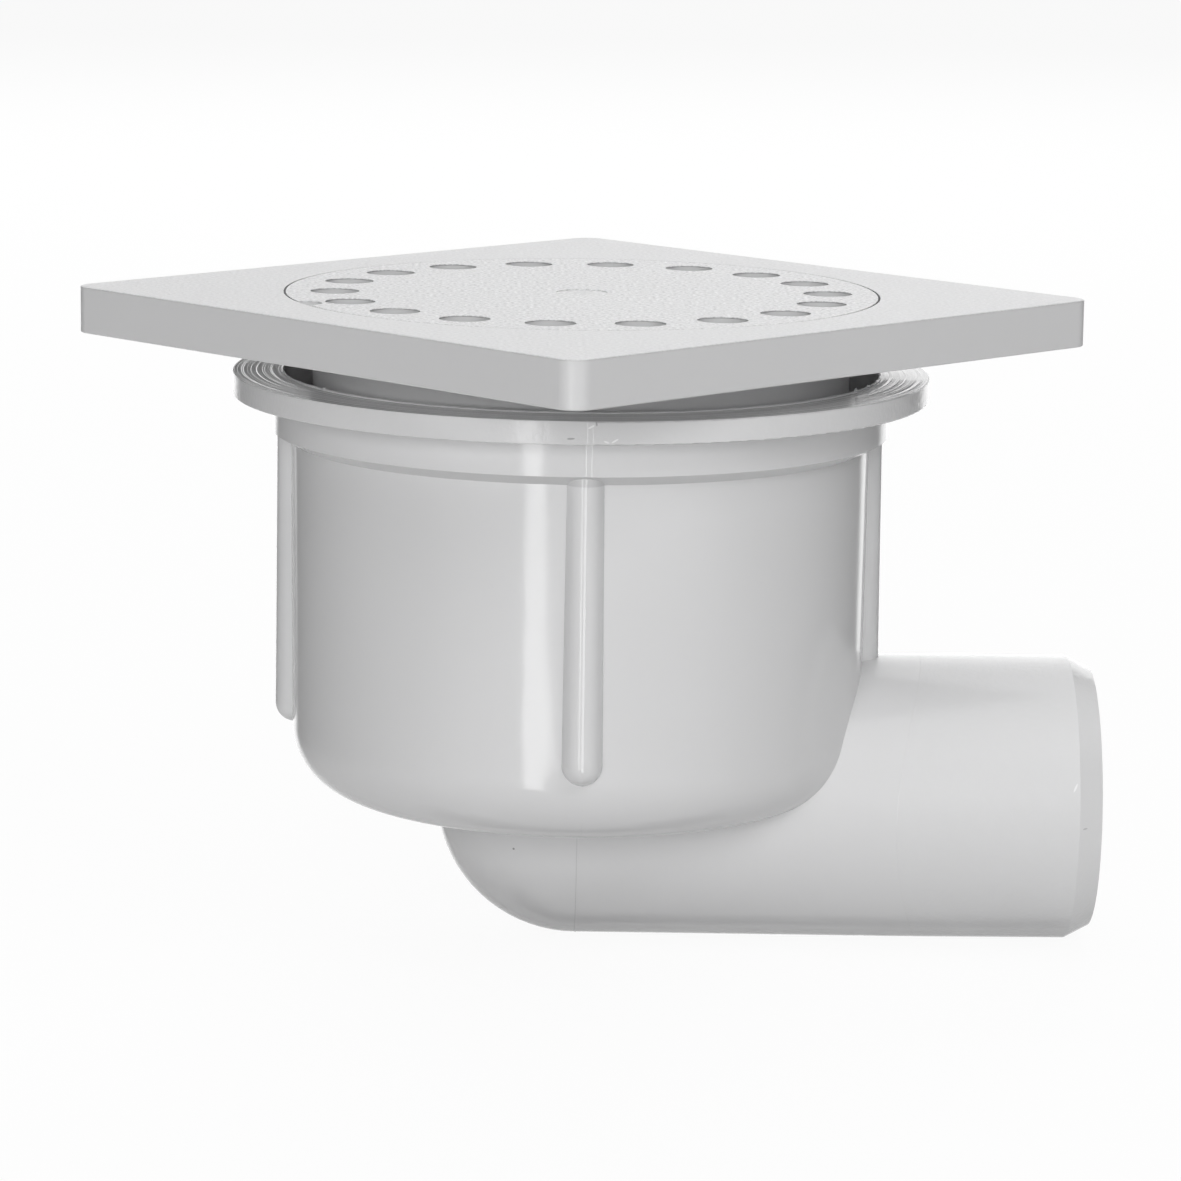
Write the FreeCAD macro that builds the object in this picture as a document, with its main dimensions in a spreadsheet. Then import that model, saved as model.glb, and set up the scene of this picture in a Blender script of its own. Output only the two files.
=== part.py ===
import FreeCAD, Part
import math
import os
import Sketcher

# Shower floor drain: a trap body with a horizontal outlet, a bell over its standpipe,
# a square top frame whose foot ring turns in the body's socket, and a round lift-out grate.
# Lengths are in millimetres, angles in degrees. The origin is on the pot's axis at the
# finished floor level, which is the top of the plate. +Z is up and the outlet points along +X.

# Driving sizes: value and meaning. A depth is measured down from the floor level.
SIZES = {
    "plate_side": (100, "side of the square plate"),
    "plate_thickness": (6.5, "height of the plate's edge"),
    "plate_corner": (2.8, "radius of the plate's four corners"),
    "plate_margin": (9, "from the grate's edge to the middle of a plate side"),
    "plate_edge_round": (0.25, "radius along the plate's top and bottom edges"),
    "plate_skin": (2.4, "thickness of the plate over its hollow underside"),
    "plate_skirt": (2.2, "thickness of the plate's four sides"),
    "plate_turn": (43.2, "turn of the plate from the outlet's direction"),
    "recess_wall": (2.7, "wall between the grate's recess and the hollow underside"),
    "web_thickness": (1.6, "thickness of the four corner webs under the plate"),
    "ledge_width": (1.95, "width of the ledge that the grate rests on"),
    "neck_inset": (3.75, "from the grate's edge in to the neck's outer face"),
    "neck_wall": (2, "wall of the neck"),
    "foot_width": (3.8, "width of the ring round the neck's end, which turns in the socket"),
    "foot_thickness": (2, "thickness of that ring"),
    "foot_clearance": (0.28, "gap between that ring and the socket, on the radius"),
    "foot_seat_gap": (0.2, "gap between that ring and its seat"),
    "grate_thickness": (3, "thickness of the grate, and the depth of its recess"),
    "grate_gap": (0.28, "gap round the grate"),
    "grate_turn": (2, "turn of the grate from the outlet's direction"),
    "grate_edge_round": (0.1, "radius along the grate's rim, its holes and its recess"),
    "hole_count": (18, "holes in the grate's ring"),
    "hole_diameter": (6.8, "diameter of a grate hole"),
    "hole_inset": (6.8, "from the grate's edge to the centre of a hole"),
    "notch_radius": (2.6, "radius of the lift notch in the grate's rim"),
    "notch_depth": (1.2, "depth of the lift notch"),
    "notch_hole": (10, "number of the hole that the lift notch lines up with"),
    "mark_diameter": (7.1, "diameter of the sunk disc at the grate's centre"),
    "mark_depth": (0.15, "depth of that disc"),
    "stiffener_diameter": (54, "outer diameter of the ring under the grate"),
    "stiffener_wall": (2, "wall of that ring"),
    "stiffener_height": (2.5, "height of that ring"),
    "flange_gap": (4.4, "from the plate's underside down to the flange"),
    "flange_thickness": (3.15, "thickness of the flange"),
    "flange_width": (5.56, "width of the flange outside the collar"),
    "flange_edge_round": (0.2, "radius along the flange's edges"),
    "collar_wall": (1.44, "wall of the collar round the socket"),
    "collar_height": (5.05, "height of the collar below the flange"),
    "seat_thickness": (1.5, "height of the foot ring's seat above the collar's lower end"),
    "cone_inset": (2.57, "step from the collar in to the pot, on the radius"),
    "cone_height": (1.45, "height of the cone under the collar"),
    "pot_depth": (70, "depth of the pot's underside"),
    "pot_wall": (2, "wall and floor of the pot"),
    "pot_draft": (0.3, "how much narrower the pot is at its foot, on the radius"),
    "pot_corner": (9.3, "radius round the pot's foot"),
    "rib_count": (4, "ribs round the pot"),
    "rib_inset": (0.55, "from the pot's surface in to a rib's own axis"),
    "rib_top_radius": (2.5, "radius of a rib at its top"),
    "rib_foot_radius": (2.73, "radius of a rib at its round foot"),
    "rib_rise": (9, "from the pot's underside up to the ribs' feet"),
    "outlet_diameter": (40, "outer diameter of the outlet spigot"),
    "spigot_length": (28.3, "length of the parallel spigot at the end of the outlet"),
    "elbow_taper": (0.3, "how much thinner the outlet is at the elbow, on the radius"),
    "outlet_wall": (3, "wall of the outlet"),
    "outlet_drop": (1, "from the pot's underside down to the outlet's axis"),
    "outlet_reach": (72.3, "from the pot's axis to the end of the outlet"),
    "outlet_chamfer_length": (3.3, "length of the outlet's chamfered end"),
    "outlet_chamfer_depth": (1.7, "how much the chamfer narrows the radius"),
    "standpipe_rim": (22, "depth of the standpipe's rim, which sets the water level"),
    "standpipe_wall": (2.2, "wall of the standpipe"),
    "standpipe_inset": (1, "how much thinner the standpipe is than the outlet, on the radius"),
    "bell_gap": (5.5, "gap between the standpipe and the bell, on the radius"),
    "bell_wall": (2, "wall of the bell"),
    "bell_headroom": (6.5, "height under the bell's top above the standpipe's rim"),
    "bell_clearance": (3, "from the bell's rim down to the outlet pipe"),
    "bell_shoulder": (3, "radius round the bell's top"),
    "knob_diameter": (11, "diameter of the bell's lifting knob"),
    "knob_neck_diameter": (7, "diameter of the knob's neck"),
    "knob_height": (5, "height of the knob above the bell"),
    "knob_head": (2.5, "height of the knob's head"),
    "knob_edge_round": (0.8, "radius along the edges of the knob's head"),
    "fin_count": (4, "spacer fins inside the bell"),
    "fin_thickness": (1.8, "thickness of a fin"),
    "fin_lap": (2, "how far a fin reaches in over the standpipe's bore"),
    "fin_drop": (8, "how far a fin reaches down beside the standpipe"),
    "fin_clearance": (0.3, "gap between the fins and the standpipe's side"),
}

# Radii that follow from the driving sizes.
GRATE_RADIUS = "(sizes.plate_side / 2 - sizes.plate_margin)"
RECESS_RADIUS = f"({GRATE_RADIUS} + sizes.grate_gap)"
LEDGE_RADIUS = f"({GRATE_RADIUS} - sizes.ledge_width)"
NECK_RADIUS = f"({GRATE_RADIUS} - sizes.neck_inset)"
NECK_BORE = f"({NECK_RADIUS} - sizes.neck_wall)"
FOOT_RADIUS = f"({NECK_RADIUS} + sizes.foot_width)"
SOCKET_RADIUS = f"({FOOT_RADIUS} + sizes.foot_clearance)"
COLLAR_RADIUS = f"({SOCKET_RADIUS} + sizes.collar_wall)"
FLANGE_RADIUS = f"({COLLAR_RADIUS} + sizes.flange_width)"
POT_RADIUS = f"({COLLAR_RADIUS} - sizes.cone_inset)"
POT_FOOT_RADIUS = f"({POT_RADIUS} - sizes.pot_draft)"
RIB_AXIS_RADIUS = f"({POT_RADIUS} - sizes.rib_inset)"
HOLE_RING_RADIUS = f"({GRATE_RADIUS} - sizes.hole_inset)"
OUTLET_RADIUS = "(sizes.outlet_diameter / 2)"
OUTLET_BORE = f"({OUTLET_RADIUS} - sizes.outlet_wall)"
ELBOW_RADIUS = f"({OUTLET_RADIUS} - sizes.elbow_taper)"
STANDPIPE_RADIUS = f"({OUTLET_RADIUS} - sizes.standpipe_inset)"
STANDPIPE_BORE = f"({STANDPIPE_RADIUS} - sizes.standpipe_wall)"
BELL_BORE = f"({STANDPIPE_RADIUS} + sizes.bell_gap)"
BELL_RADIUS = f"({BELL_BORE} + sizes.bell_wall)"

# Heights that follow from the driving sizes, negative below the floor level.
PLATE_UNDERSIDE = "(-sizes.plate_thickness)"
GRATE_UNDERSIDE = "(-sizes.grate_thickness)"
FLANGE_TOP = f"({PLATE_UNDERSIDE} - sizes.flange_gap)"
FLANGE_UNDERSIDE = f"({FLANGE_TOP} - sizes.flange_thickness)"
COLLAR_END = f"({FLANGE_UNDERSIDE} - sizes.collar_height)"
CONE_END = f"({COLLAR_END} - sizes.cone_height)"
SEAT = f"({COLLAR_END} + sizes.seat_thickness)"
NECK_END = f"({SEAT} + sizes.foot_seat_gap)"
POT_UNDERSIDE = "(-sizes.pot_depth)"
POT_FLOOR = f"({POT_UNDERSIDE} + sizes.pot_wall)"
RIB_FOOT_CENTRE = f"({POT_UNDERSIDE} + sizes.rib_rise + sizes.rib_foot_radius)"
OUTLET_AXIS = f"({POT_UNDERSIDE} - sizes.outlet_drop)"
STANDPIPE_RIM = "(-sizes.standpipe_rim)"
BELL_CEILING = f"({STANDPIPE_RIM} + sizes.bell_headroom)"
BELL_TOP = f"({BELL_CEILING} + sizes.bell_wall)"
BELL_RIM = f"({OUTLET_AXIS} + {OUTLET_RADIUS} + sizes.bell_clearance)"
KNOB_TOP = f"({BELL_TOP} + sizes.knob_height)"

ORIGIN_POINT = (-1, 1)
ACROSS_AXIS = -1
UP_AXIS = -2
LINE_START = 1
LINE_END = 2
CENTRE = 3
NORMAL = FreeCAD.Vector(0, 0, 1)
FULL_TURN = 360
UPRIGHT = "90"
DIAGONAL = "45"
PLATE_CORNERS = "4"
SAME = 1e-4


def make_sheet(doc):
    """Spreadsheet with one aliased cell for each driving size."""
    sheet = doc.addObject("Spreadsheet::Sheet", "sizes")
    for row, (name, (value, meaning)) in enumerate(SIZES.items(), start=1):
        sheet.set(f"A{row}", name)
        sheet.set(f"B{row}", str(value))
        sheet.setAlias(f"B{row}", name)
        sheet.set(f"C{row}", meaning)
    doc.recompute()


def origin_feature(body, role):
    """Axis or plane of the body's own origin."""
    return next(feature for feature in body.Origin.OriginFeatures if feature.Role == role)


def make_body(doc, name, turn=None):
    """Body for one moulding, turned about the pot's axis where a size says so."""
    body = doc.addObject("PartDesign::Body", name)
    body.Label = name
    if turn:
        body.setExpression("Placement.Rotation.Angle", turn)
    return body


def make_sketch(body, name, plane, shift=None, turn=None):
    """Sketch on an origin plane; shift moves it in its own axes and turn turns it about its normal."""
    sketch = body.newObject("Sketcher::SketchObject", name)
    sketch.AttachmentSupport = [(origin_feature(body, plane), "")]
    sketch.MapMode = "FlatFace"
    for axis, distance in (shift or {}).items():
        sketch.setExpression(f"AttachmentOffset.Base.{axis}", distance)
    if turn:
        sketch.setExpression("AttachmentOffset.Rotation.Angle", turn)
    return sketch


def bind(sketch, kind, *place_and_size):
    """Dimension whose value follows an expression on the sheet."""
    *place, size = place_and_size
    index = sketch.addConstraint(Sketcher.Constraint(kind, *place, sketch.evalExpression(size)))
    sketch.setExpression(f"Constraints[{index}]", size)


def place_point(sketch, geometry, end, across, up, on_arc=False):
    """Dimension a point from the sketch's origin, or lay it on an axis where a coordinate is 0."""
    for axis, kind, size in ((UP_AXIS, "DistanceX", across), (ACROSS_AXIS, "DistanceY", up)):
        if size == "0":
            sketch.addConstraint(Sketcher.Constraint("PointOnObject", geometry, end, axis))
        elif not on_arc:
            bind(sketch, kind, *ORIGIN_POINT, geometry, end, size)


def draw_circle(sketch, radius, across="0", up="0"):
    """Dimensioned circle."""
    centre = FreeCAD.Vector(sketch.evalExpression(across), sketch.evalExpression(up), 0)
    circle = sketch.addGeometry(Part.Circle(centre, NORMAL, sketch.evalExpression(radius)))
    place_point(sketch, circle, CENTRE, across, up)
    bind(sketch, "Radius", circle, radius)


def draw_outline(sketch, corners):
    """Closed outline of straight sides through corners (across, up) or, rounded, (across, up, radius)."""
    points = [FreeCAD.Vector(*(sketch.evalExpression(size) for size in corner[:2]), 0) for corner in corners]
    ends = points[1:] + points[:1]
    sides = [sketch.addGeometry(Part.LineSegment(a, b)) for a, b in zip(points, ends)]
    for index, (across, up, *radius) in enumerate(corners):
        before, after = sides[index - 1], sides[index]
        if radius:
            round_corner(sketch, before, after, points[index], corners[index])
        else:
            sketch.addConstraint(Sketcher.Constraint("Coincident", before, LINE_END, after, LINE_START))
            place_point(sketch, after, LINE_START, across, up)


def round_corner(sketch, before, after, corner, corner_sizes):
    """Tangent arc between two sides that run to a dimensioned corner point."""
    across, up, radius = corner_sizes
    back = (sketch.Geometry[before].StartPoint - corner).normalize()
    ahead = (sketch.Geometry[after].EndPoint - corner).normalize()
    half_angle = back.getAngle(ahead) / 2
    value = sketch.evalExpression(radius)
    centre = corner + (back + ahead).normalize() * (value / math.sin(half_angle))
    trim = value / math.tan(half_angle)
    first, last = corner + back * trim, corner + ahead * trim
    turns_left = back.cross(ahead).z < 0
    start, end = (first, last) if turns_left else (last, first)
    angles = [math.atan2((point - centre).y, (point - centre).x) for point in (start, end)]
    arc = sketch.addGeometry(Part.ArcOfCircle(Part.Circle(centre, NORMAL, value), *angles))
    tip = sketch.addGeometry(Part.Point(corner), True)
    arc_first, arc_last = (LINE_START, LINE_END) if turns_left else (LINE_END, LINE_START)
    sketch.addConstraint(Sketcher.Constraint("Tangent", before, LINE_END, arc, arc_first))
    sketch.addConstraint(Sketcher.Constraint("Tangent", after, LINE_START, arc, arc_last))
    sketch.addConstraint(Sketcher.Constraint("PointOnObject", tip, LINE_START, before))
    sketch.addConstraint(Sketcher.Constraint("PointOnObject", tip, LINE_START, after))
    place_point(sketch, tip, LINE_START, across, up)
    bind(sketch, "Radius", arc, radius)


def draw_rod(sketch, tip_radius, side):
    """Half outline of a rod along the across axis: round tip, then points (along, radius) of its side."""
    corners = [("0", f"-{tip_radius}"), *((along, f"-{radius}") for along, radius in side)]
    corners += [(side[-1][0], "0"), (f"-{tip_radius}", "0")]
    points = [FreeCAD.Vector(*(sketch.evalExpression(size) for size in corner), 0) for corner in corners]
    sides = [sketch.addGeometry(Part.LineSegment(a, b)) for a, b in zip(points, points[1:])]
    circle = Part.Circle(FreeCAD.Vector(), NORMAL, sketch.evalExpression(tip_radius))
    arc = sketch.addGeometry(Part.ArcOfCircle(circle, math.pi, 1.5 * math.pi))
    sketch.addConstraint(Sketcher.Constraint("Coincident", arc, CENTRE, *ORIGIN_POINT))
    sketch.addConstraint(Sketcher.Constraint("Coincident", sides[0], LINE_START, arc, LINE_END))
    sketch.addConstraint(Sketcher.Constraint("Coincident", sides[-1], LINE_END, arc, LINE_START))
    for before, after in zip(sides, sides[1:]):
        sketch.addConstraint(Sketcher.Constraint("Coincident", before, LINE_END, after, LINE_START))
    place_point(sketch, sides[0], LINE_START, *corners[0], on_arc=True)
    for line, corner in zip(sides, corners[1:]):
        place_point(sketch, line, LINE_END, *corner)


def extrude(body, kind, sketch, length, reverse=False, both_ways=False):
    """Pad or pocket of a sketch."""
    feature = body.newObject(f"PartDesign::{kind}", f"{sketch.Name}_{kind.lower()}")
    feature.Profile = sketch
    feature.setExpression("Length", length)
    feature.Reversed = reverse
    if both_ways:
        feature.SideType = "Symmetric"
    return apply_feature(body, feature)


def turn_round(body, kind, sketch, axis):
    """Full revolution or groove of a sketch about one of its own axes."""
    feature = body.newObject(f"PartDesign::{kind}", f"{sketch.Name}_{kind.lower()}")
    feature.Profile = sketch
    feature.ReferenceAxis = (sketch, [axis])
    feature.Angle = FULL_TURN
    return apply_feature(body, feature)


def repeat_round(body, feature, count):
    """Polar pattern of a feature about the body's own vertical axis."""
    pattern = body.newObject("PartDesign::PolarPattern", f"{feature.Name}_ring")
    pattern.Originals = [feature]
    pattern.Axis = (origin_feature(body, "Z_Axis"), [""])
    pattern.Angle = FULL_TURN
    pattern.setExpression("Occurrences", count)
    return apply_feature(body, pattern)


def round_edges(body, name, radius, wanted):
    """Fillet on every edge of the body that the test picks."""
    base = body.Tip
    names = [f"Edge{number}" for number, edge in enumerate(base.Shape.Edges, start=1) if wanted(edge)]
    fillet = body.newObject("PartDesign::Fillet", name)
    fillet.Base = (base, names)
    fillet.setExpression("Radius", radius)
    return apply_feature(body, fillet)


def apply_feature(body, feature):
    """Make the feature the body's tip, and stop if it left the solid as it was."""
    before = feature.BaseFeature.Shape.Volume if feature.BaseFeature else 0
    body.Tip = feature
    body.Document.recompute()
    if abs(feature.Shape.Volume - before) < SAME:
        raise ValueError(f"{feature.Name} changed nothing")
    return feature


def lies_at(edge, height):
    """Does the whole edge lie at this height?"""
    box = edge.BoundBox
    return abs(box.ZMin - height) < SAME and abs(box.ZMax - height) < SAME


def is_circle(edge, radius, height):
    """Is the edge a circle of this radius at this height?"""
    circular = isinstance(edge.Curve, Part.Circle)
    return lies_at(edge, height) and circular and abs(edge.Curve.Radius - radius) < SAME


def build_trap_body(doc):
    """Pot with flange, collar, ribs, elbow, outlet and standpipe, moulded in one."""
    body = make_body(doc, "trap_body")

    shell = make_sketch(body, "shell", "XZ_Plane")
    draw_outline(shell, [
        ("0", FLANGE_TOP),
        (FLANGE_RADIUS, FLANGE_TOP, "sizes.flange_edge_round"),
        (FLANGE_RADIUS, FLANGE_UNDERSIDE, "sizes.flange_edge_round"),
        (COLLAR_RADIUS, FLANGE_UNDERSIDE),
        (COLLAR_RADIUS, COLLAR_END),
        (POT_RADIUS, CONE_END),
        (POT_FOOT_RADIUS, POT_UNDERSIDE, "sizes.pot_corner"),
        ("0", POT_UNDERSIDE),
    ])
    turn_round(body, "Revolution", shell, "V_Axis")

    # The rib's sketch runs upwards, from the centre of its round foot.
    rib = make_sketch(body, "rib", "XZ_Plane", {"x": f"-{RIB_AXIS_RADIUS}", "y": RIB_FOOT_CENTRE}, UPRIGHT)
    draw_rod(rib, "sizes.rib_foot_radius", [(f"({SEAT} - {RIB_FOOT_CENTRE})", "sizes.rib_top_radius")])
    repeat_round(body, turn_round(body, "Revolution", rib, "H_Axis"), "sizes.rib_count")

    inside = make_sketch(body, "inside", "XZ_Plane")
    draw_outline(inside, [
        ("0", "0"),
        (SOCKET_RADIUS, "0"),
        (SOCKET_RADIUS, SEAT),
        (f"({POT_RADIUS} - sizes.pot_wall)", SEAT),
        (f"({POT_FOOT_RADIUS} - sizes.pot_wall)", POT_FLOOR, "sizes.pot_corner - sizes.pot_wall"),
        ("0", POT_FLOOR),
    ])
    turn_round(body, "Groove", inside, "V_Axis")

    outlet = make_sketch(body, "outlet", "XZ_Plane", {"y": OUTLET_AXIS})
    draw_rod(outlet, ELBOW_RADIUS, [
        ("(sizes.outlet_reach - sizes.spigot_length)", OUTLET_RADIUS),
        ("(sizes.outlet_reach - sizes.outlet_chamfer_length)", OUTLET_RADIUS),
        ("sizes.outlet_reach", f"({OUTLET_RADIUS} - sizes.outlet_chamfer_depth)"),
    ])
    turn_round(body, "Revolution", outlet, "H_Axis")

    standpipe = make_sketch(body, "standpipe", "XY_Plane", {"z": OUTLET_AXIS})
    draw_circle(standpipe, STANDPIPE_RADIUS)
    extrude(body, "Pad", standpipe, f"{STANDPIPE_RIM} - {OUTLET_AXIS}")

    outlet_bore = make_sketch(body, "outlet_bore", "XZ_Plane", {"y": OUTLET_AXIS})
    draw_rod(outlet_bore, OUTLET_BORE, [("sizes.outlet_reach", OUTLET_BORE)])
    turn_round(body, "Groove", outlet_bore, "H_Axis")

    standpipe_bore = make_sketch(body, "standpipe_bore", "XY_Plane", {"z": STANDPIPE_RIM})
    draw_circle(standpipe_bore, STANDPIPE_BORE)
    extrude(body, "Pocket", standpipe_bore, f"{STANDPIPE_RIM} - {OUTLET_AXIS}")
    return body


def build_trap_bell(doc):
    """Bell that hangs over the standpipe, with a lifting knob and spacer fins inside."""
    body = make_body(doc, "trap_bell")
    knob_radius = "sizes.knob_diameter / 2"
    knob_neck_radius = "sizes.knob_neck_diameter / 2"
    inner_shoulder = "sizes.bell_shoulder - sizes.bell_wall"

    bell = make_sketch(body, "bell", "XZ_Plane")
    draw_outline(bell, [
        ("0", KNOB_TOP),
        (knob_radius, KNOB_TOP, "sizes.knob_edge_round"),
        (knob_radius, f"{KNOB_TOP} - sizes.knob_head", "sizes.knob_edge_round"),
        (knob_neck_radius, f"{KNOB_TOP} - sizes.knob_head"),
        (knob_neck_radius, BELL_TOP),
        (BELL_RADIUS, BELL_TOP, "sizes.bell_shoulder"),
        (BELL_RADIUS, BELL_RIM),
        (BELL_BORE, BELL_RIM),
        (BELL_BORE, BELL_CEILING, inner_shoulder),
        ("0", BELL_CEILING),
    ])
    turn_round(body, "Revolution", bell, "V_Axis")

    # A fin stands on the standpipe's rim and centres the bell outside it.
    fin = make_sketch(body, "fin", "XZ_Plane")
    in_ceiling = f"({BELL_CEILING} + sizes.bell_wall / 2)"
    in_wall = f"({BELL_BORE} + sizes.bell_wall / 2)"
    below_shoulder = f"({BELL_TOP} - sizes.bell_shoulder)"
    fin_tip = f"({STANDPIPE_BORE} - sizes.fin_lap)"
    fin_side = f"({STANDPIPE_RADIUS} + sizes.fin_clearance)"
    fin_foot = f"({STANDPIPE_RIM} - sizes.fin_drop)"
    draw_outline(fin, [
        (fin_tip, in_ceiling),
        (BELL_BORE, in_ceiling),
        (BELL_BORE, below_shoulder),
        (in_wall, below_shoulder),
        (in_wall, fin_foot),
        (fin_side, fin_foot),
        (fin_side, STANDPIPE_RIM),
        (fin_tip, STANDPIPE_RIM),
    ])
    fin_pad = extrude(body, "Pad", fin, "sizes.fin_thickness", both_ways=True)
    repeat_round(body, fin_pad, "sizes.fin_count")
    return body


def build_top_frame(doc):
    """Square plate with a recess, a hollow underside with webs, and a neck that ends in a foot ring."""
    body = make_body(doc, "top_frame", turn="sizes.plate_turn")
    half_side = "sizes.plate_side / 2"
    hollow_half = "(sizes.plate_side / 2 - sizes.plate_skirt)"
    hollow_corner = "sizes.plate_corner - sizes.plate_skirt"
    hollow_depth = "sizes.plate_thickness - sizes.plate_skin"
    hollow_wall_radius = f"({RECESS_RADIUS} + sizes.recess_wall)"

    plate = make_sketch(body, "plate", "XY_Plane")
    draw_outline(plate, square(half_side, "sizes.plate_corner"))
    extrude(body, "Pad", plate, "sizes.plate_thickness", reverse=True)

    underside = body.evalExpression(PLATE_UNDERSIDE)
    round_edges(body, "plate_edges", "sizes.plate_edge_round",
                lambda edge: lies_at(edge, 0) or lies_at(edge, underside))

    hollow = make_sketch(body, "hollow", "XY_Plane", {"z": PLATE_UNDERSIDE})
    draw_outline(hollow, square(hollow_half, hollow_corner))
    draw_circle(hollow, hollow_wall_radius)
    extrude(body, "Pocket", hollow, hollow_depth, reverse=True)

    # Each web runs along a diagonal, from the recess's wall into the corner of the skirt.
    web = make_sketch(body, "web", "XY_Plane", {"z": PLATE_UNDERSIDE}, DIAGONAL)
    web_start = f"({hollow_wall_radius} - sizes.recess_wall / 2)"
    web_end = f"({hollow_half} * sqrt(2))"
    draw_outline(web, [
        (web_start, "-sizes.web_thickness / 2"),
        (web_end, "-sizes.web_thickness / 2"),
        (web_end, "sizes.web_thickness / 2"),
        (web_start, "sizes.web_thickness / 2"),
    ])
    repeat_round(body, extrude(body, "Pad", web, hollow_depth), PLATE_CORNERS)

    neck = make_sketch(body, "neck", "XY_Plane", {"z": PLATE_UNDERSIDE})
    draw_circle(neck, NECK_RADIUS)
    extrude(body, "Pad", neck, f"{PLATE_UNDERSIDE} - {NECK_END}", reverse=True)

    foot = make_sketch(body, "foot", "XY_Plane", {"z": NECK_END})
    draw_circle(foot, FOOT_RADIUS)
    extrude(body, "Pad", foot, "sizes.foot_thickness")

    # The recess ends in a ledge, and a funnel leads from there into the neck.
    passage = make_sketch(body, "passage", "XZ_Plane")
    draw_outline(passage, [
        ("0", "0"),
        (RECESS_RADIUS, "0"),
        (RECESS_RADIUS, GRATE_UNDERSIDE),
        (LEDGE_RADIUS, GRATE_UNDERSIDE),
        (NECK_BORE, PLATE_UNDERSIDE),
        (NECK_BORE, NECK_END),
        ("0", NECK_END),
    ])
    turn_round(body, "Groove", passage, "V_Axis")

    recess_radius = body.evalExpression(RECESS_RADIUS)
    round_edges(body, "recess_edge", "sizes.grate_edge_round",
                lambda edge: is_circle(edge, recess_radius, 0))
    return body


def square(half_side, corner):
    """Corners of a centred square with rounded corners."""
    minus = f"-{half_side}"
    return [
        (minus, minus, corner),
        (half_side, minus, corner),
        (half_side, half_side, corner),
        (minus, half_side, corner),
    ]


def build_grate(doc):
    """Round grate with one ring of holes, a lift notch and a stiffening ring underneath."""
    body = make_body(doc, "grate", turn="sizes.grate_turn")

    disc = make_sketch(body, "disc", "XY_Plane")
    draw_circle(disc, GRATE_RADIUS)
    extrude(body, "Pad", disc, "sizes.grate_thickness", reverse=True)

    stiffener = make_sketch(body, "stiffener", "XY_Plane", {"z": GRATE_UNDERSIDE})
    draw_circle(stiffener, "sizes.stiffener_diameter / 2")
    draw_circle(stiffener, "sizes.stiffener_diameter / 2 - sizes.stiffener_wall")
    extrude(body, "Pad", stiffener, "sizes.stiffener_height", reverse=True)

    hole = make_sketch(body, "hole", "XY_Plane")
    draw_circle(hole, "sizes.hole_diameter / 2", across=HOLE_RING_RADIUS)
    repeat_round(body, extrude(body, "Pocket", hole, "sizes.grate_thickness"), "sizes.hole_count")

    grate_radius = body.evalExpression(GRATE_RADIUS)
    hole_radius = body.evalExpression("sizes.hole_diameter / 2")
    round_edges(body, "grate_edges", "sizes.grate_edge_round",
                lambda edge: is_circle(edge, grate_radius, 0) or is_circle(edge, hole_radius, 0))

    mark = make_sketch(body, "mark", "XY_Plane")
    draw_circle(mark, "sizes.mark_diameter / 2")
    extrude(body, "Pocket", mark, "sizes.mark_depth")

    notch = make_sketch(body, "notch", "XY_Plane", turn=f"sizes.notch_hole * {FULL_TURN} / sizes.hole_count")
    draw_circle(notch, "sizes.notch_radius", across=GRATE_RADIUS)
    extrude(body, "Pocket", notch, "sizes.notch_depth")
    return body


def check_document(doc, bodies):
    """Stop on any failed object or unsound shape."""
    failed = [item.Name for item in doc.Objects if {"Invalid", "Error"} & set(item.State)]
    if failed:
        raise ValueError(f"failed objects: {failed}")
    for body in bodies:
        if body.Shape.isNull() or not body.Shape.isValid() or len(body.Shape.Solids) != 1:
            raise ValueError(f"{body.Label} is not one valid solid")


def main():
    doc = FreeCAD.newDocument("shower_drain")
    make_sheet(doc)
    builders = (build_trap_body, build_trap_bell, build_top_frame, build_grate)
    bodies = [build(doc) for build in builders]
    doc.recompute()
    check_document(doc, bodies)
    os.makedirs("parts", exist_ok=True)
    for body in bodies:
        body.Shape.exportStep(f"parts/{body.Label}.step")
        print(body.Label, "volume", round(body.Shape.Volume, 1))


main()
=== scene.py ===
import math

import bpy
import numpy as np
from mathutils import Matrix, Vector


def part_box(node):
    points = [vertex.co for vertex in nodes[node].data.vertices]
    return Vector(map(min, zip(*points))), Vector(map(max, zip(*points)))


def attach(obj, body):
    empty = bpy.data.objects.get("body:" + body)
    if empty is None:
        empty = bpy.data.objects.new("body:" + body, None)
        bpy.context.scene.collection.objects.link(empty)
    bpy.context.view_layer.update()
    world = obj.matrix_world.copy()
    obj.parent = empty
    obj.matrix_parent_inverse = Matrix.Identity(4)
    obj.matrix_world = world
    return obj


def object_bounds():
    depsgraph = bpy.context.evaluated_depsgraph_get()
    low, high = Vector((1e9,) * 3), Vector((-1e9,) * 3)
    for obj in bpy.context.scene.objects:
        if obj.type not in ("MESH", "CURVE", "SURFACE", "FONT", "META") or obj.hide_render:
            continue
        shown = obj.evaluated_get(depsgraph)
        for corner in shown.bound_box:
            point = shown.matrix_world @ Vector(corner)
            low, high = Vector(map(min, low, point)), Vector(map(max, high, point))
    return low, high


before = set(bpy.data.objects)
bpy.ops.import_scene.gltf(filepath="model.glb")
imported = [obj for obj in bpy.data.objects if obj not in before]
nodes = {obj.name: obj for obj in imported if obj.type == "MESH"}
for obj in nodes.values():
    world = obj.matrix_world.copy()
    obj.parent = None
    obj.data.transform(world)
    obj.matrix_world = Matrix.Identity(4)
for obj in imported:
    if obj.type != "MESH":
        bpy.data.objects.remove(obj)        # bodies: pot (trap body and bell), top (frame and grate)
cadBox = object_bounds()
print("frame loaded:", sorted(nodes))

mm = 0.001

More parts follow.
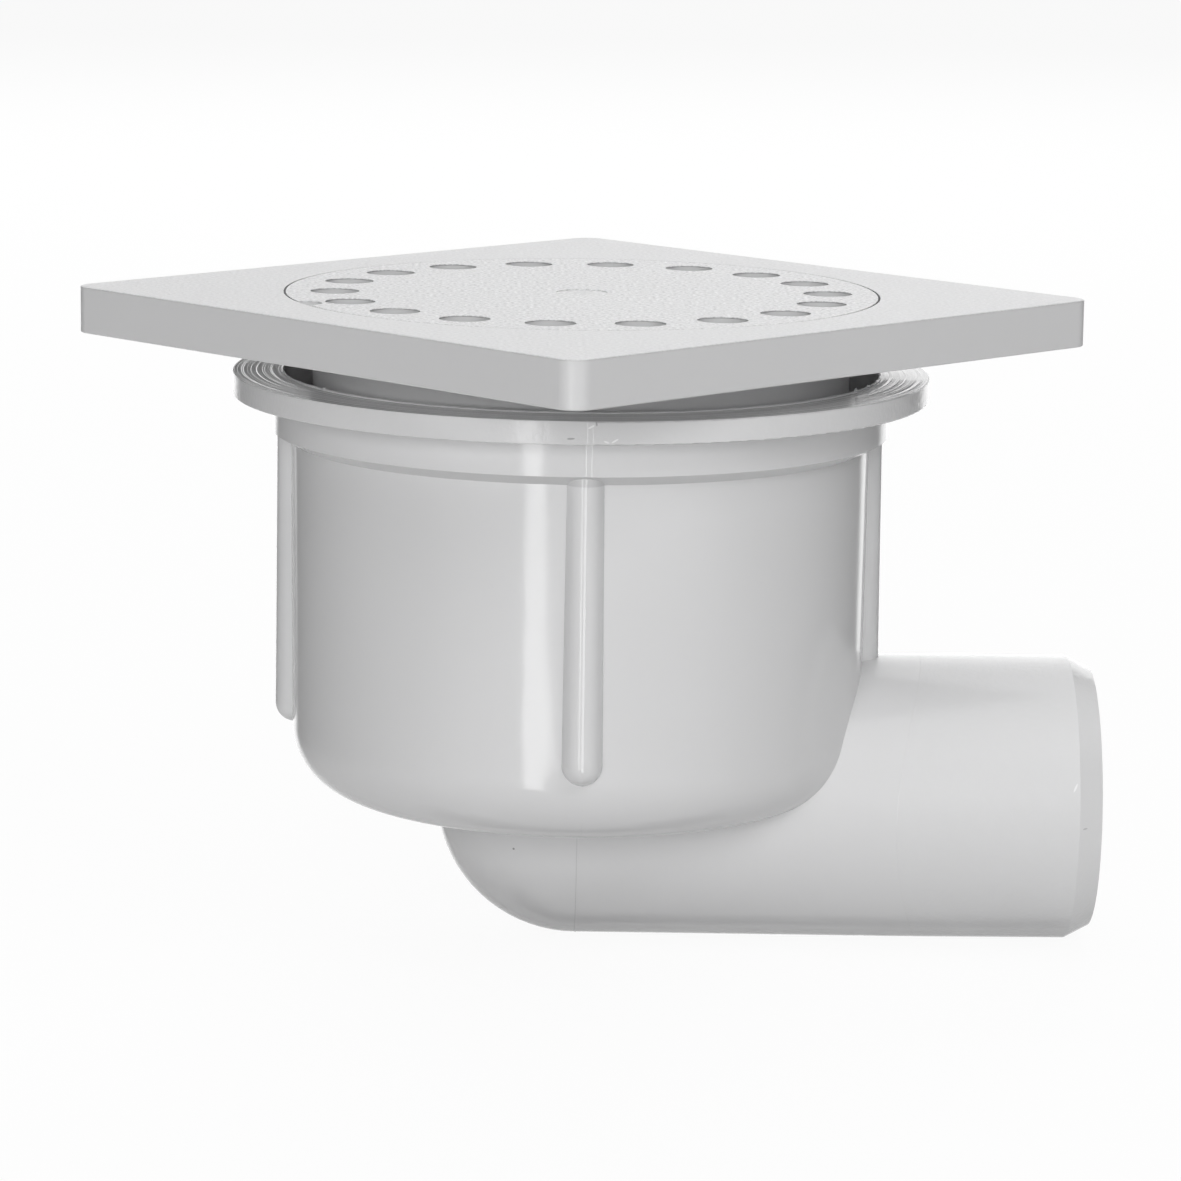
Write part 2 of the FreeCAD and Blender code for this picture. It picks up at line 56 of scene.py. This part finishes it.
# Sizes of the mouldings that the added pieces and the finishes follow, in metres
drain = {
    "socketRadius": 41.33 * mm,        # bore that the neck turns in
    "collarRadius": 42.77 * mm,
    "potRadius": 40.20 * mm,           # under the cone
    "potFootRadius": 39.90 * mm,
    "potCorner": 9.3 * mm,
    "collarEnd": -19.10 * mm,          # heights, below the plate's top
    "coneEnd": -20.55 * mm,
    "potUnderside": -70 * mm,
    "flangeThickness": 3.15 * mm,
    "flangeRound": 0.2 * mm,
    "ribAxisRadius": 39.65 * mm,
    "ribTopRadius": 2.5 * mm,
    "ribFootRadius": 2.73 * mm,
    "ribFootHeight": -58.27 * mm,
    "elbowRadius": 19.70 * mm,
    "outletAxis": -71 * mm,
    "ribFootEnd": -83,                 # degrees from outwards, where the arcs of the rib's outline meet
    "cornerStart": -2,
    "elbowStart": 3,
}
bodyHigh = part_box("trap_body")[1]
flangeTop = bodyHigh.z
flangeRadius = bodyHigh.y
flangeUnderside = flangeTop - drain["flangeThickness"]
floorHeight = cadBox[0].z


# Shader maths: a Wire is one output socket, and operators on wires add Math nodes
class Wire:
    def __init__(self, tree, socket=None):
        self.tree = tree
        self.socket = socket

    def node(self, kind, settings=None, values=None, out=0):        # any node: settings first, then its sockets
        made = self.tree.nodes.new("ShaderNode" + kind)
        for name, value in (settings or {}).items():
            setattr(made, name, value)
        for name, value in (values or {}).items():
            if isinstance(value, Wire):
                self.tree.links.new(value.socket, made.inputs[name])
            else:
                made.inputs[name].default_value = value
        return Wire(self.tree, made.outputs[out])

    def math(self, operation, *values):
        return self.node("Math", {"operation": operation}, dict(enumerate(values)))

    def __add__(self, other):
        return self.math("ADD", self, other)

    __radd__ = __add__

    def __sub__(self, other):
        return self.math("SUBTRACT", self, other)

    def __rsub__(self, other):
        return self.math("SUBTRACT", other, self)

    def __mul__(self, other):
        return self.math("MULTIPLY", self, other)

    __rmul__ = __mul__

    def __truediv__(self, other):
        return self.math("DIVIDE", self, other)

    def __pow__(self, other):
        return self.math("POWER", self, other)

    def ramp(self, low, high):        # smooth step from 0 at low to 1 at high
        return self.node("MapRange", {"interpolation_type": "SMOOTHSTEP"},
                         {"Value": self, "From Min": low, "From Max": high})

    def rampAt(self, place, edge):        # the same step between two distances from a place
        return self.ramp(place + edge[0], place + edge[1])


def newMaterial(name):
    made = bpy.data.materials.new(name)
    made.use_nodes = True
    tree = made.node_tree
    shader = tree.nodes["Principled BSDF"]
    return made, Wire(tree), shader


def feed(wire, shader, **values):        # links or constants for the shader's own sockets
    for name, value in values.items():
        socket = shader.inputs[name.replace("_", " ")]
        if isinstance(value, Wire):
            wire.tree.links.new(value.socket, socket)
        else:
            socket.default_value = value


def objectPlace(wire):        # object coordinates, their parts and the distance from the pot's axis
    place = wire.node("TexCoord", out="Object")
    x, y, z = (wire.node("SeparateXYZ", {}, {"Vector": place}, out) for out in "XYZ")
    return place, x, y, z, (x * x + y * y) ** 0.5


def noise(wire, place, scale, detail=2.0):
    return wire.node("TexNoise", {}, {"Vector": place, "Scale": scale, "Detail": detail}, "Fac")


def shade(wire, colour, amount):        # a colour made darker or lighter by amount, a wire near 1
    return wire.node("VectorMath", {"operation": "SCALE"}, {"Vector": colour, "Scale": amount}, "Vector")


def bump(wire, height, distance, normal=None):
    values = {"Height": height, "Distance": distance, "Strength": 1.0}
    if normal:
        values["Normal"] = normal
    return wire.node("Bump", {}, values, "Normal")


# Glossy moulding of the trap body and the bell
glossLook = {
    "colour": (0.78, 0.78, 0.785),
    "ior": 1.5,
    "roughness": 0.10,
    "cloud": 0.03,                # how far the tone and the roughness drift
    "cloudScale": 28,
    "swellScale": 95,             # slow unevenness that bends reflections
    "swellHeight": 0.06 * mm,
    "topEdge": (-0.15 * mm, -0.03 * mm),        # where the flange's top begins, from its height
    "ringScale": 1300,            # turned lines on the flange's top
    "ringHeight": 0.18 * mm,
    "rimEdge": (-0.3 * mm, -0.1 * mm),          # where its rim begins, from its radius
    "scuffScale": 1300,           # scuffed rim of the flange
    "scuffHeight": 0.05 * mm,
    "scuffRoughness": 0.02,
    "creaseShade": 0.16,           # painted shade that darkens the crease under the collar
    "creaseFoot": (-0.1 * mm, 0.1 * mm),        # from the cone's end
    "creaseHead": (-0.1 * mm, 0),               # from the collar's end
    "partingTone": 0.16,          # fine dark line beside the seam on the elbow
    "partingPlace": -0.15 * mm,
    "partingWidth": 0.12 * mm,
    "partingEnd": (-1 * mm, 0),   # from the outlet's axis
    "frontEdge": (-16 * mm, -12 * mm),          # the nicks stay in front of this
    "nickCore": 0.35,             # share of a nick's area that has its full tone
    # nicks and specks on the front: across, height, half length, half width in mm, degrees, tone
    "nicks": (
        (0.45, -11.65, 0.55, 0.16, 28, 0.30),
        (2.45, -13.60, 0.45, 0.15, -20, 0.25),
        (3.55, -13.45, 0.60, 0.14, 30, 0.30),
        (-2.15, -13.20, 0.60, 0.14, 3, -0.45),
        (1.15, -11.25, 0.14, 0.30, 10, -0.35),
        (-8.81, -75.18, 0.18, 0.18, 0, -0.60),
        (68.34, -65.47, 0.75, 0.16, 65, 0.20),
        (69.79, -71.15, 0.40, 0.14, 8, -0.25),
    ),
}


def nickMask(across, height, shape, core):        # 1 inside a turned ellipse, 0 outside
    side, level, halfLength, halfWidth, degrees = shape
    turn = math.radians(degrees)
    right, up = across - side * mm, height - level * mm
    along = (right * math.cos(turn) + up * math.sin(turn)) / (halfLength * mm)
    over = (up * math.cos(turn) - right * math.sin(turn)) / (halfWidth * mm)
    return 1 - (along * along + over * over).ramp(core, 1.0)


def makeGloss(name, look, flanged):
    made, wire, shader = newMaterial(name)
    place, x, y, z, radius = objectPlace(wire)
    cloud = noise(wire, place, look["cloudScale"])
    tone = 1 + (cloud - 0.5) * look["cloud"]
    rough = look["roughness"] + cloud * look["cloud"]
    normal = bump(wire, noise(wire, place, look["swellScale"], detail=1.0), look["swellHeight"])
    if flanged:
        onTop = z.rampAt(flangeTop, look["topEdge"])
        onRim = radius.rampAt(flangeRadius, look["rimEdge"]) * (1 - onTop)
        rings = wire.node("TexNoise", {"noise_dimensions": "1D"},
                          {"W": radius, "Scale": look["ringScale"], "Detail": 2.0}, "Fac")
        normal = bump(wire, rings * onTop, look["ringHeight"], normal)
        scuff = noise(wire, place, look["scuffScale"], detail=3.0)
        normal = bump(wire, scuff * onRim, look["scuffHeight"], normal)
        rough = rough + onRim * look["scuffRoughness"]
        aboveCone = z.rampAt(drain["coneEnd"], look["creaseFoot"])
        inCollar = z.rampAt(drain["collarEnd"], look["creaseHead"])
        # painted shade in the crease between the cone and the collar
        tone = tone - aboveCone * (1 - inCollar) * look["creaseShade"]
        aside = wire.math("ABSOLUTE", x - look["partingPlace"])
        aboveElbow = z.rampAt(drain["outletAxis"], look["partingEnd"])
        onParting = (1 - aside.ramp(0, look["partingWidth"])) * (1 - aboveElbow)
        tone = tone - onParting * look["partingTone"]
        onFront = 1 - y.ramp(*look["frontEdge"])
        for *shape, change in look["nicks"]:
            tone = tone + nickMask(x, z, shape, look["nickCore"]) * onFront * change
    feed(wire, shader, Base_Color=shade(wire, look["colour"], tone), Roughness=rough, Normal=normal,
         IOR=look["ior"])
    return made


# Spark-eroded grain on the plate and the grate, with satin sides
grainLook = {
    "colour": (0.78, 0.78, 0.785),
    "ior": 1.5,
    "sideRoughness": 0.34,
    "topRoughness": 0.58,
    "grainScale": 1700,
    "grainHeight": 0.20 * mm,
    "fleckScale": 1900,           # dark and light flecks in the grain
    "frameFleck": 0.35,           # their strength on the plate, then on the grate
    "grateFleck": 1.1,
    "cloud": 0.03,                # how far the tone drifts
    "cloudScale": 40,
    "topEdge": (-0.25 * mm, -0.10 * mm),        # the grain fades in over the rounded edge
    "spot": (-14.97 * mm, 6.99 * mm),           # one dark fleck on the grate
    "spotRadius": 0.5 * mm,
    "spotCore": 0.4,              # share of its radius that has the full tone
    "spotTone": 0.25,
    "markRadius": 3.5 * mm,       # round mark in the grate's middle
    "markCore": 0.9,
    "markTone": 0.05,
    "sideShade": 0.06,             # painted shade that darkens the plate's smooth sides
    "neckLight": 0.12,             # painted light that lightens its neck, which lies in shade under the plate
    "sideFoot": (-7.0 * mm, -6.4 * mm),         # heights between the neck and the sides
}


def makeGrain(name, look, onGrate):
    made, wire, shader = newMaterial(name)
    place, x, y, z, radius = objectPlace(wire)
    onTop = z.ramp(*look["topEdge"])
    grain = noise(wire, place, look["grainScale"], detail=3.0)
    fleck = noise(wire, place, look["fleckScale"])
    cloud = noise(wire, place, look["cloudScale"])
    fleckTone = look["grateFleck" if onGrate else "frameFleck"]
    tone = 1 + (cloud - 0.5) * look["cloud"] + (fleck - 0.5) * onTop * fleckTone
    if onGrate:
        right, ahead = x - look["spot"][0], y - look["spot"][1]
        away = (right * right + ahead * ahead) ** 0.5
        inSpot = 1 - away.ramp(look["spotRadius"] * look["spotCore"], look["spotRadius"])
        inMark = 1 - radius.ramp(look["markRadius"] * look["markCore"], look["markRadius"])
        tone = tone - inSpot * onTop * look["spotTone"] - inMark * look["markTone"]
    else:
        aboveNeck = z.ramp(*look["sideFoot"])
        # painted shade on the plate's sides and painted light on its neck
        tone = tone - (1 - onTop) * aboveNeck * look["sideShade"] + (1 - aboveNeck) * look["neckLight"]
    normal = bump(wire, grain * onTop, look["grainHeight"])
    rough = look["sideRoughness"] + onTop * (look["topRoughness"] - look["sideRoughness"])
    feed(wire, shader, Base_Color=shade(wire, look["colour"], tone), Roughness=rough, Normal=normal,
         IOR=look["ior"])
    return made


bodyGloss = makeGloss("bodyGloss", glossLook, flanged=True)
bellGloss = makeGloss("bellGloss", glossLook, flanged=False)
frameGrain = makeGrain("frameGrain", grainLook, onGrate=False)
grateGrain = makeGrain("grateGrain", grainLook, onGrate=True)
finishes = {"trap_body": bodyGloss, "trap_bell": bellGloss, "top_frame": frameGrain, "grate": grateGrain}
for nodeName, finish in finishes.items():
    for materialSlot in nodes[nodeName].material_slots:
        materialSlot.material = finish
print("finishes:", len(finishes))


# A grid of points, rows by columns, becomes quads; columns wrap round, and rows wrap or end in caps
def gridPiece(name, points, closedRows, smooth, material):
    rows, columns = points.shape[:2]
    number = np.arange(rows * columns).reshape(rows, columns)
    top = number if closedRows else number[:-1]
    down = np.roll(number, -1, 0) if closedRows else number[1:]
    faces = np.stack([top, np.roll(top, -1, 1), np.roll(down, -1, 1), down], -1).reshape(-1, 4).tolist()
    if not closedRows:
        faces += [number[0, ::-1].tolist(), number[-1].tolist()]
    mesh = bpy.data.meshes.new(name)
    mesh.from_pydata(points.reshape(-1, 3).tolist(), [], faces)
    mesh.polygons.foreach_set("use_smooth", np.full(len(mesh.polygons), smooth))
    mesh.materials.append(material)
    piece = bpy.data.objects.new(name, mesh)
    bpy.context.scene.collection.objects.link(piece)
    return piece


def arc(centre, radius, start, end, count):        # points on a circle, angles in degrees from outwards
    angle = np.radians(np.linspace(start, end, count))
    return np.stack([centre[0] + radius * np.cos(angle), centre[1] + radius * np.sin(angle)], -1)


# Fine ridges where the halves of the mould meet
seamLook = {
    "rise": 0.16,                 # height as a share of the width
    "sunk": 0.06 * mm,            # how deep the foot stands in the moulding
    "step": 0.4 * mm,
    "ribWidth": 0.30 * mm,
    "fineWidth": 0.13 * mm,
    "pairShift": 0.75 * mm,       # place of the flange's second seam
    "rimGap": 0.3 * mm,           # the flange's seams begin beside the flash
}


# Half outline of the body in the plane of the mould's parting line: distance from the axis, and height
def flangeOutline():
    edge = drain["flangeRound"]
    rim = flangeRadius - edge
    return np.concatenate([
        [[drain["socketRadius"] + seamLook["rimGap"], flangeTop]],
        arc((rim, flangeTop - edge), edge, 90, 0, count=7),
        arc((rim, flangeUnderside + edge), edge, 0, -90, count=7),
        [[drain["collarRadius"], flangeUnderside]],
        [[drain["collarRadius"], drain["collarEnd"]]],
    ])


def ribOutline():
    coneShare = ((drain["collarRadius"] - drain["ribAxisRadius"] - drain["ribTopRadius"])
                 / (drain["collarRadius"] - drain["potRadius"]))
    ribTop = drain["collarEnd"] + coneShare * (drain["coneEnd"] - drain["collarEnd"])
    footCentre = (drain["ribAxisRadius"], drain["ribFootHeight"])
    cornerCentre = (drain["potFootRadius"] - drain["potCorner"], drain["potUnderside"] + drain["potCorner"])
    elbowCentre = (0, drain["outletAxis"])
    return np.concatenate([
        [[drain["ribAxisRadius"] + drain["ribTopRadius"], ribTop]],
        arc(footCentre, drain["ribFootRadius"], 0, drain["ribFootEnd"], count=12),
        arc(cornerCentre, drain["potCorner"], drain["cornerStart"], -90, count=17),
        arc(elbowCentre, drain["elbowRadius"], drain["elbowStart"], -90, count=40),
    ])


def evenly(outline, step):        # the same outline with points every step or closer
    count = np.maximum(np.ceil(np.linalg.norm(np.diff(outline, axis=0), axis=1) / step), 1).astype(int)
    place = np.concatenate([[0], np.cumsum(count)])
    fine = np.arange(place[-1] + 1)
    return np.stack([np.interp(fine, place, outline[:, column]) for column in (0, 1)], -1)


# A seam is a low wedge carried along the outline, and its foot stands in the moulding.
# point = path + across * width * (-1/2 or 1/2) + outward normal * height,
# where height is 0 on the left and width * rise on the right, or minus sunk at the foot
def seam(name, outline, side, shift, width):
    outline = evenly(outline, seamLook["step"])
    path = np.stack([np.full(len(outline), shift), side * outline[:, 0], outline[:, 1]], -1)
    along = np.gradient(path, axis=0)
    along /= np.linalg.norm(along, axis=1, keepdims=True)
    across = np.array([1.0, 0.0, 0.0])
    outward = np.cross(across, along) * side
    sideways = np.array([-0.5, -0.5, 0.5, 0.5])[None, :, None] * width
    height = np.array([-seamLook["sunk"], 0.0, width * seamLook["rise"], -seamLook["sunk"]])[None, :, None]
    points = path[:, None] + across * sideways + outward[:, None] * height
    return gridPiece(name, points[:, ::side], False, False, bodyGloss)


def makeSeams():
    made = []
    for side, word in ((-1, "front"), (1, "back")):
        made.append(seam("seam_rib_" + word, ribOutline(), side, 0.0, seamLook["ribWidth"]))
        made.append(seam("seam_flange_" + word, flangeOutline(), side, 0.0, seamLook["fineWidth"]))
        made.append(seam("seam_pair_" + word, flangeOutline(), side,
                         seamLook["pairShift"], seamLook["fineWidth"]))
    return made


# Thin flash on the socket's rim: a low ridge whose height wanders round the ring, with a few torn tags.
# point = ring at the rim + outwards * cos(t) * half width + up * sin(t) * height(angle)
flashLook = {
    "halfWidth": 0.15 * mm,
    "height": 0.22 * mm,
    "wander": 0.06 * mm,
    "waves": ((7, 0.4), (19, 1.9), (53, 3.1)),        # waves round the ring and their phases
    "sunk": 0.05 * mm,
    # torn tags: degrees round the rim, height in mm
    "tags": ((-27.5, 0.42), (-21, 0.22), (-14, 0.25), (-9, 0.3), (-5, 0.25), (-1, 0.3),
             (-147, 0.25), (-171, 0.2), (64, 0.35), (139, 0.4)),
    "tagWidth": 0.45,             # degrees
    "steps": 1440,
    "sides": 12,
}


def makeFlash(look):
    angle = np.linspace(0, 2 * np.pi, look["steps"], endpoint=False)
    wander = sum(np.sin(angle * count + phase) / len(look["waves"]) for count, phase in look["waves"])
    height = look["height"] + look["wander"] * wander
    for degrees, tall in look["tags"]:
        away = (angle - math.radians(degrees) + np.pi) % (2 * np.pi) - np.pi
        height = height + tall * mm * np.exp(-(np.degrees(away) / look["tagWidth"]) ** 2)
    turn = np.linspace(0, 2 * np.pi, look["sides"], endpoint=False)
    radius = drain["socketRadius"] + look["halfWidth"] * (1 + np.cos(turn)[None, :])
    up = np.sin(turn)[None, :]
    z = flangeTop + np.where(up > 0, up * height[:, None], up * look["sunk"])
    points = np.stack([radius * np.cos(angle)[:, None], radius * np.sin(angle)[:, None], z], -1)
    return gridPiece("rim_flash", points, True, True, bodyGloss)


potPieces = makeSeams() + [makeFlash(flashLook)]
for piece in potPieces:
    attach(piece, "pot")
print("added pieces:", [piece.name for piece in potPieces])


# Camera solved from the plate's edges, in degrees and metres
view = {
    "imageSide": 1181,
    "focalPixels": 4700,
    "sensor": 36,                 # width of the camera's sensor, in its own unit
    "clip": (0.01, 50),
    "distance": 651.29 * mm,
    "turn": -1.28,
    "pitch": 10.526,
    "roll": 0.75,
    "acrossShift": 1.172 * mm,
    "upShift": -41.346 * mm,
}


def makeCamera(look):
    pitch, roll = math.radians(look["pitch"]), math.radians(look["roll"])
    right = Vector((1, 0, 0))
    ahead = Vector((0, math.cos(pitch), -math.sin(pitch)))
    up = Vector((0, math.sin(pitch), math.cos(pitch)))
    across = right * math.cos(roll) + up * math.sin(roll)
    upright = up * math.cos(roll) - right * math.sin(roll)
    spot = across * look["acrossShift"] + upright * look["upShift"] - ahead * look["distance"]
    axes = Matrix((across, upright, -ahead)).transposed().to_4x4()
    data = bpy.data.cameras.new("camera")
    data.sensor_width = look["sensor"]
    data.lens = look["focalPixels"] * look["sensor"] / look["imageSide"]
    data.clip_start, data.clip_end = look["clip"]
    camera = bpy.data.objects.new("camera", data)
    camera.matrix_world = Matrix.Rotation(math.radians(look["turn"]), 4, "Z") @ Matrix.Translation(spot) @ axes
    bpy.context.scene.collection.objects.link(camera)
    bpy.context.scene.camera = camera


makeCamera(view)
print("camera set")

# Studio: azimuth is degrees from the front to the left, elevation is degrees up, lengths are in metres
studio = {
    "target": Vector((0, 0, -0.045)),
    "front": {"azimuth": 9, "elevation": 14, "distance": 1.6, "size": (1.3, 0.7), "power": 12.3},
    "key": {"azimuth": -36, "elevation": 42, "distance": 1.6, "size": (0.8, 0.6), "power": 4.6},
    "overhead": {"azimuth": 0, "elevation": 88, "distance": 1.2, "size": (1.4, 1.4), "power": 7.4},
    "back": {"azimuth": 180, "elevation": 30, "distance": 1.6, "size": (1.3, 0.7), "power": 12.0},
    "strip": {"azimuth": 17.7, "elevation": -8, "distance": 1.0, "size": (0.128, 0.62), "strength": 5.3},
    "ambient": 0.02,
    # What gloss sees: a bright field behind, then the sides, front, sky and ground.
    # Edges are degrees right of straight behind, and fades are parts of a direction of length 1
    "behindGlow": 1.6,
    "leftEdge": (-26, -18),
    "rightEdge": (26, 34),
    "upperEdge": (-1.5, -0.5),    # the field's left end above the horizon
    "upperFade": (0, 0.12),
    "sideGlow": 0.1,
    "frontGlow": 0.8,
    "frontFade": (0.3, 0.9),
    "skyGlow": 1.2,
    "skyFade": (0.35, 0.7),
    "groundGlow": 0.62,
    "groundFade": (0.1, 0.5),
    "underShade": 0.65,           # a dark band in the ground, behind and far below
    "underStart": (0.80, 0.88),
    "underEnd": (0.93, 0.98),
    "underBehind": (0, 0.2),
    "floorSize": 12,
    "floorTone": 0.70,
    "floorSeenTone": 0.97,        # the same where the camera sees it
    "floorGlow": 0.94,            # share of plain white in what the camera sees of the floor
}


def aim(look):        # place that faces the target from a direction
    azimuth, elevation = math.radians(look["azimuth"]), math.radians(look["elevation"])
    flat = math.cos(elevation)
    out = Vector((-math.sin(azimuth) * flat, -math.cos(azimuth) * flat, math.sin(elevation)))
    facing = out.to_track_quat("Z", "Y").to_matrix().to_4x4()
    return Matrix.Translation(studio["target"] + out * look["distance"]) @ facing


def makeLamp(name, look):
    data = bpy.data.lights.new(name, "AREA")
    data.shape = "RECTANGLE"
    data.size, data.size_y = look["size"]
    data.energy = look["power"]
    lamp = bpy.data.objects.new(name, data)
    lamp.matrix_world = aim(look)
    lamp.visible_camera = lamp.visible_glossy = False
    bpy.context.scene.collection.objects.link(lamp)


def bareMaterial(name):        # a material with only its output left
    made = bpy.data.materials.new(name)
    made.use_nodes = True
    tree = made.node_tree
    tree.nodes.remove(tree.nodes["Principled BSDF"])
    return made, Wire(tree), tree.nodes["Material Output"].inputs["Surface"]


def flatPiece(name, size, height, material):        # a level rectangle round the axis
    wide, tall = (side / 2 for side in size)
    corners = [(side * wide, end * tall, height) for side, end in ((-1, -1), (1, -1), (1, 1), (-1, 1))]
    mesh = bpy.data.meshes.new(name)
    mesh.from_pydata(corners, [], [(0, 1, 2, 3)])
    mesh.materials.append(material)
    piece = bpy.data.objects.new(name, mesh)
    bpy.context.scene.collection.objects.link(piece)
    return piece


def makeStripCard(look):        # narrow bright card that only gloss sees
    made, wire, surface = bareMaterial("stripGlow")
    made.cycles.emission_sampling = "NONE"
    glow = wire.node("Emission", {}, {"Strength": look["strength"]})
    wire.tree.links.new(glow.socket, surface)
    card = flatPiece("strip_card", look["size"], 0, made)
    card.matrix_world = aim(look)
    for ray in ("camera", "diffuse", "transmission", "volume_scatter", "shadow"):
        setattr(card, "visible_" + ray, False)


def grey(tone):
    return (tone, tone, tone, 1)


def makeFloor():
    made, wire, surface = bareMaterial("paleFloor")
    seen = wire.node("LightPath", out="Is Camera Ray")
    tones = {"Factor": seen, "A": grey(studio["floorTone"]), "B": grey(studio["floorSeenTone"])}
    tone = wire.node("Mix", {"data_type": "RGBA"}, tones, "Result")
    matt = wire.node("BsdfDiffuse", {}, {"Color": tone})
    glow = wire.node("Emission", {}, {"Strength": 1.0})
    both = wire.node("MixShader", {}, {0: seen * studio["floorGlow"], 1: matt, 2: glow})
    wire.tree.links.new(both.socket, surface)
    floor = flatPiece("floor", (studio["floorSize"], studio["floorSize"]), floorHeight, made)
    floor.visible_glossy = False


def makeWorld():
    world = bpy.data.worlds.new("studio")
    bpy.context.scene.world = world
    world.use_nodes = True
    tree = world.node_tree
    wire = Wire(tree)
    place = wire.node("TexCoord", out="Generated")
    x, y, z = (wire.node("SeparateXYZ", {}, {"Vector": place}, out) for out in "XYZ")
    bearing = wire.math("ARCTAN2", x, y)        # 0 straight behind, positive to the right
    leftEnd, rightEnd, upperEnd = (bearing.ramp(*map(math.radians, studio[edge]))
                                   for edge in ("leftEdge", "rightEdge", "upperEdge"))
    leftEnd = leftEnd + z.ramp(*studio["upperFade"]) * (upperEnd - leftEnd)
    behind = leftEnd * (1 - rightEnd)
    ahead = (0 - y / (x * x + y * y) ** 0.5).ramp(*studio["frontFade"])
    sheen = studio["sideGlow"] + behind * (studio["behindGlow"] - studio["sideGlow"])
    sheen = sheen + ahead * (studio["frontGlow"] - studio["sideGlow"])
    sheen = sheen + z.ramp(*studio["skyFade"]) * (studio["skyGlow"] - sheen)
    down = 0 - z
    under = down.ramp(*studio["underStart"]) * (1 - down.ramp(*studio["underEnd"]))
    under = under * y.ramp(*studio["underBehind"])
    ground = studio["groundGlow"] - under * (studio["groundGlow"] * studio["underShade"])
    sheen = sheen + down.ramp(*studio["groundFade"]) * (ground - sheen)
    camera = wire.node("LightPath", out="Is Camera Ray")
    glossy = wire.node("LightPath", out="Is Glossy Ray")
    plain = studio["ambient"] + glossy * (sheen - studio["ambient"])
    strength = plain + camera * (1 - plain)
    background = tree.nodes["Background"]
    background.inputs["Color"].default_value = grey(1)
    tree.links.new(strength.socket, background.inputs["Strength"])


for lampName in ("front", "key", "overhead", "back"):
    makeLamp(lampName, studio[lampName])
makeStripCard(studio["strip"])
makeFloor()
makeWorld()
bpy.context.scene.view_settings.view_transform = "Standard"
print("studio lit")
